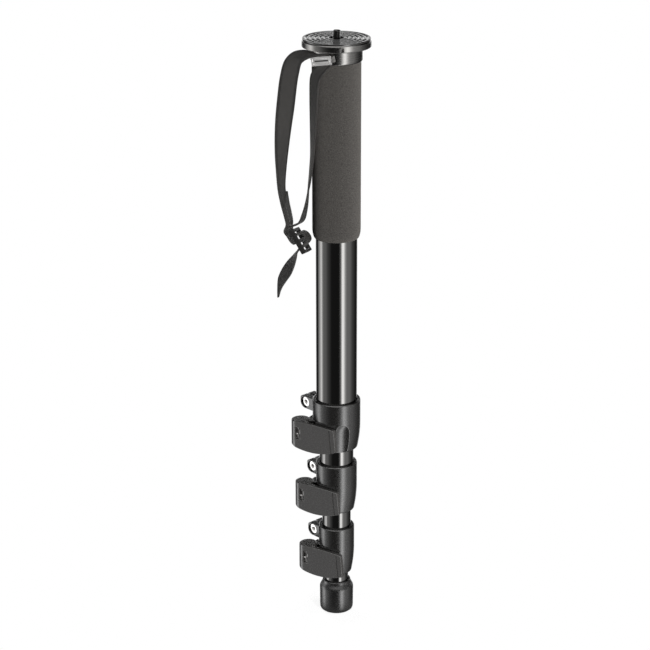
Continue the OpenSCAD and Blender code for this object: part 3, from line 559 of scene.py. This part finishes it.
def smooth_route(rows, steps):
    """A smooth curve through the rows."""
    rows = [np.array(row, float) for row in rows]
    made = []
    for k in range(len(rows) - 1):
        p = [rows[min(max(k + j, 0), len(rows) - 1)] for j in (-1, 0, 1, 2)]
        for u in np.arange(steps) / steps:
            made.append(0.5 * (
                2 * p[1] + (p[2] - p[0]) * u + (2 * p[0] - 5 * p[1] + 4 * p[2] - p[3]) * u * u
                + (3 * p[1] - p[0] - 3 * p[2] + p[3]) * u ** 3
            ))
    return made + [rows[-1]]


SECTION = [
    (-1, -0.4), (-1, 0.4), (-0.95, 1), (-0.5, 1), (0, 1), (0.5, 1), (0.95, 1),
    (1, 0.4), (1, -0.4), (0.95, -1), (0.5, -1), (0, -1), (-0.5, -1), (-0.95, -1),
]


def webbing_frame(rows, k):
    """The middle of the webbing at a row, half its width as a vector, and half its thickness."""
    h, s = np.radians(rows[k][3:5])
    side = HALF * np.array((cos(h) * cos(s), sin(h) * cos(s), sin(s)))
    up = np.cross(rows[min(k + 1, len(rows) - 1)][:3] - rows[max(k - 1, 0)][:3], side)
    return HOME + rows[k][:3], side, up * THICK / 2 / np.linalg.norm(up)


def webbing_ribbon(rows, lift=0.0):
    """A ribbon of webbing through smoothed rows, with half widths on its UV map, and its middle line."""
    bm = bmesh.new()
    uv = bm.loops.layers.uv.new("UVMap")
    run, rings, line = 0.0, [], []
    for k, row in enumerate(rows):
        middle, side, up = webbing_frame(rows, k)
        run += np.linalg.norm(row[:3] - rows[max(k - 1, 0)][:3])
        ring = []
        for across, through in SECTION:
            reach = -1 + (across + 1) / 2 * (row[5] + 1)
            point = middle + side * reach + up * (through + lift)
            ring.append((bm.verts.new(point * MM), (reach, run / HALF)))
        rings.append(ring)
        if row[5] > LINE_END:
            line.append((middle + side * (row[5] - 1) / 2) * MM)
    count = len(SECTION)
    walls = [
        [low[j], low[(j + 1) % count], high[(j + 1) % count], high[j]]
        for low, high in zip(rings, rings[1:]) for j in range(count)
    ]
    for corners in walls + [rings[0], rings[-1]]:
        face = bm.faces.new([corner[0] for corner in corners])
        for loop, corner in zip(face.loops, corners):
            loop[uv].uv = corner[1]
    bmesh.ops.recalc_face_normals(bm, faces=bm.faces)
    return bm, line, run * MM


webbing, tree, shader = finish("webbing_black", (0.05, 0.048, 0.046))
laid = add(tree, "ShaderNodeUVMap", uv_map="UVMap").outputs[0]
weave = add(
    tree, "ShaderNodeTexBrick",
    {
        "Vector": laid, "Scale": 1.0, "Brick Width": 0.2, "Row Height": 0.1,
        "Mortar Size": 0.016, "Mortar Smooth": 1.0,
    },
    offset=0.5,
).outputs["Fac"]
speck = add(tree, "ShaderNodeTexNoise", {"Vector": laid, "Scale": 24.0, "Detail": 4.0}).outputs[0]
across = maths(tree, "ABSOLUTE", add(tree, "ShaderNodeSeparateXYZ", {"Vector": laid}).outputs["X"])
# A band just inside both edges of the webbing is darkened, as painted shade.
inward = ramp(tree, across, 0.62, 0.8, smooth=True)
outward = ramp(tree, across, 0.93, 0.98, 0.8, 0.0)
edge_painted_shade = maths(tree, "MULTIPLY", inward, outward)
threads = mixed(tree, speck, (0.032, 0.0304, 0.0288, 1), (0.066, 0.0635, 0.0605, 1))
edge = mixed(tree, edge_painted_shade, threads, (0.008, 0.0075, 0.007, 1))
gap = mixed(tree, weave, edge, (0.012, 0.0115, 0.011, 1))
rise = add(tree, "ShaderNodeBump", {"Height": weave, "Strength": 0.6, "Distance": 0.0003}, invert=True)
tree.links.new(gap, shader.inputs["Base Color"])
tree.links.new(rise.outputs[0], shader.inputs["Normal"])
shader.inputs["Roughness"].default_value = 0.75


# Slider
# A moulded black plastic slide with two windows.
# The strap's sewn end holds its middle bar, and the free run is threaded through both windows.
moulded, _, shader = finish("slider_black", (0.016, 0.0155, 0.015), grain=(1500.0, 0.5, 0.65, 0.05))
shader.inputs["Specular IOR Level"].default_value = 0.25
LINES_X, LINES_Y, SLIDER_THICK = (-11, -8.5, -1.5, 1.5, 8.5, 11), (-9.5, -8, 8, 9.5), 4.4
slide = bmesh.new()
bmesh.ops.create_grid(slide, x_segments=len(LINES_X) - 1, y_segments=len(LINES_Y) - 1, size=0.5)
columns = sorted({round(v.co.x, 4) for v in slide.verts})
rows = sorted({round(v.co.y, 4) for v in slide.verts})
for v in slide.verts:
    x, y = LINES_X[columns.index(round(v.co.x, 4))], LINES_Y[rows.index(round(v.co.y, 4))]
    v.co = Vector((x, y, -SLIDER_THICK / 2)) * MM
windows = []
for cell in slide.faces:
    x, y, _ = cell.calc_center_median() / MM
    if abs(y) < LINES_Y[2] and LINES_X[3] < abs(x) < LINES_X[4]:
        windows.append(cell)
bmesh.ops.delete(slide, geom=windows, context="FACES_ONLY")
raised = bmesh.ops.extrude_face_region(slide, geom=slide.faces[:])["geom"]
upper = [g for g in raised if isinstance(g, bmesh.types.BMVert)]
bmesh.ops.translate(slide, verts=upper, vec=(0, 0, SLIDER_THICK * MM))
bmesh.ops.recalc_face_normals(slide, faces=slide.faces)
soften(slide, 0.7)
seat = Matrix.Translation(Vector((HOME + SLIDER_AT) * MM)) @ SLIDER_TURN.to_4x4()
bmesh.ops.transform(slide, matrix=seat, verts=slide.verts)
slider = place(slide, "slider_frame", moulded, "upper_section", "slider_black", "strap_slider")
slider.visible_glossy = False


# Sewn end
# The strap's end comes back from the slider's middle bar and is sewn flat on the run, with a slanting cut.
# Bars of thick thread run along both its edges.
SEWN_FROM, SEWN_TO, LAP_LIFT, CUT = 92, 113, -2.0, (-0.9, -0.5, -0.1, 0.3, 0.7)
FIRST_STITCH, STITCH_STEP, SEAMS, THREAD_LIFT = 6, 2, (-0.6, 0.6), -3.15
STITCH = Vector((0.55, 1.5, 0.4))
sewn_rows = [row.copy() for row in smooth_route(FRONT_ROUTE, ROUTE_STEPS)[SEWN_FROM:SEWN_TO]]
for row, reach in zip(sewn_rows, CUT):
    row[5] = reach
lap, _, _ = webbing_ribbon(sewn_rows, lift=LAP_LIFT)
sewn_end = place(lap, "strap_sewn_end", webbing, "upper_section", "webbing_black")
thread, _, _ = finish("thread_grey", (0.16, 0.155, 0.15), grain=(2200.0, 0.5, 0.7, 0.2))
seam = bmesh.new()
for k in range(FIRST_STITCH, len(sewn_rows), STITCH_STEP):
    middle, side, up = webbing_frame(sewn_rows, k)
    along = np.cross(side, up)
    turn = Matrix([Vector(v).normalized() for v in (side, along, up)]).transposed().to_4x4()
    for across in SEAMS:
        spot = Vector((middle + side * across + up * THREAD_LIFT) * MM)
        stitch = bmesh.ops.create_cube(seam, size=1.0)["verts"]
        bmesh.ops.scale(seam, verts=stitch, vec=STITCH * MM)
        bmesh.ops.transform(seam, verts=stitch, matrix=Matrix.Translation(spot) @ turn)
soften(seam, 0.15, 2)
stitches = place(seam, "strap_stitches", thread, "upper_section", "webbing_black")


# Strap runs
# Two lengths of the nylon webbing hang from the loop. The sewn run carries the slider, the sewn end and its
# stitches, and the free run goes on through the slider to the loose tail.
for name, route, far_end, node, held in (
    ("strap_sewn_run", FRONT_ROUTE, "fitting", "strap_front", [slider, sewn_end, stitches]),
    ("strap_free_run", BACK_ROUTE, "bare", "strap_back", []),
):
    ribbon, line, length = webbing_ribbon(smooth_route(route, ROUTE_STEPS))
    strap = place(ribbon, name, webbing, "upper_section", "webbing_black", node)
    strap.visible_glossy = False


# Bushes, sleeves and plugs
# Plain pieces inside the tubes and collars. The bushes and sleeves are white plastic, pushed in place.
# The foot's plug is grey plastic, and the plug that holds the stud is bare metal.
LINER_GRAIN = (700.0, 0.35, 0.5, 0.05)
BUSHES = [f"guide_bush_{k}" for k in (2, 3, 4)]
SLEEVES = [f"lock_sleeve_{k}" for k in (1, 2, 3)]
for name, colour, metal, nodes in (
    ("liner_white", (0.72, 0.71, 0.68), 0.0, BUSHES + SLEEVES),
    ("plug_grey", (0.12, 0.12, 0.12), 0.0, ["foot_plug"]),
    ("plug_metal", (0.6, 0.6, 0.61), 1.0, ["top_plug"]),
):
    plain, _, _ = finish(name, colour, metal, LINER_GRAIN)
    for node in nodes:
        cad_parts[node].data.materials.clear()
        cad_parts[node].data.materials.append(plain)
